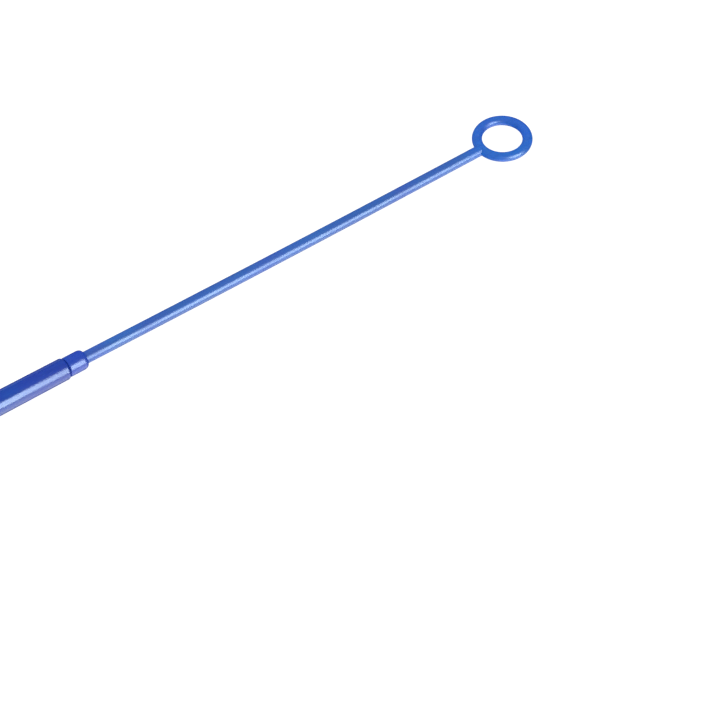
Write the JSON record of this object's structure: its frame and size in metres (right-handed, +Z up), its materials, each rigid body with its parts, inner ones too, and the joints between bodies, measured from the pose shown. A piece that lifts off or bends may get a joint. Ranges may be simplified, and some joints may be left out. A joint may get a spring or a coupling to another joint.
{
  "type": "inoculating loop",
  "caption": "Double-ended plastic inoculating loop: a large open ring and a small closed eye on thin stems, one at each end of a round tapered handle.",
  "frame": {"origin": "bottom centre of the bounding box: the bench plane under the handle, halfway along the loop", "axes": "+X along the handle towards the large ring, +Z up out of the plane in which the ring lies flat, +Y to the left when looking along +X"},
  "size_m": [0.2056, 0.006, 0.0026],
  "materials": {
    "handle_blue": "glossy deep blue moulded plastic",
    "collar_blue": "glossy deep blue moulded plastic",
    "loop_blue": "glossy mid blue, slightly translucent moulded plastic",
    "loop_blue_pale": "glossy mid blue, paler and more translucent where it is thin"
  },
  "bodies": {
    "root": {"handle_rod": "handle_blue", "collar_10ul": "collar_blue", "collar_1ul": "collar_blue", "loop_10ul": "loop_blue", "loop_1ul": "loop_blue_pale"}
  },
  "joints": []
}
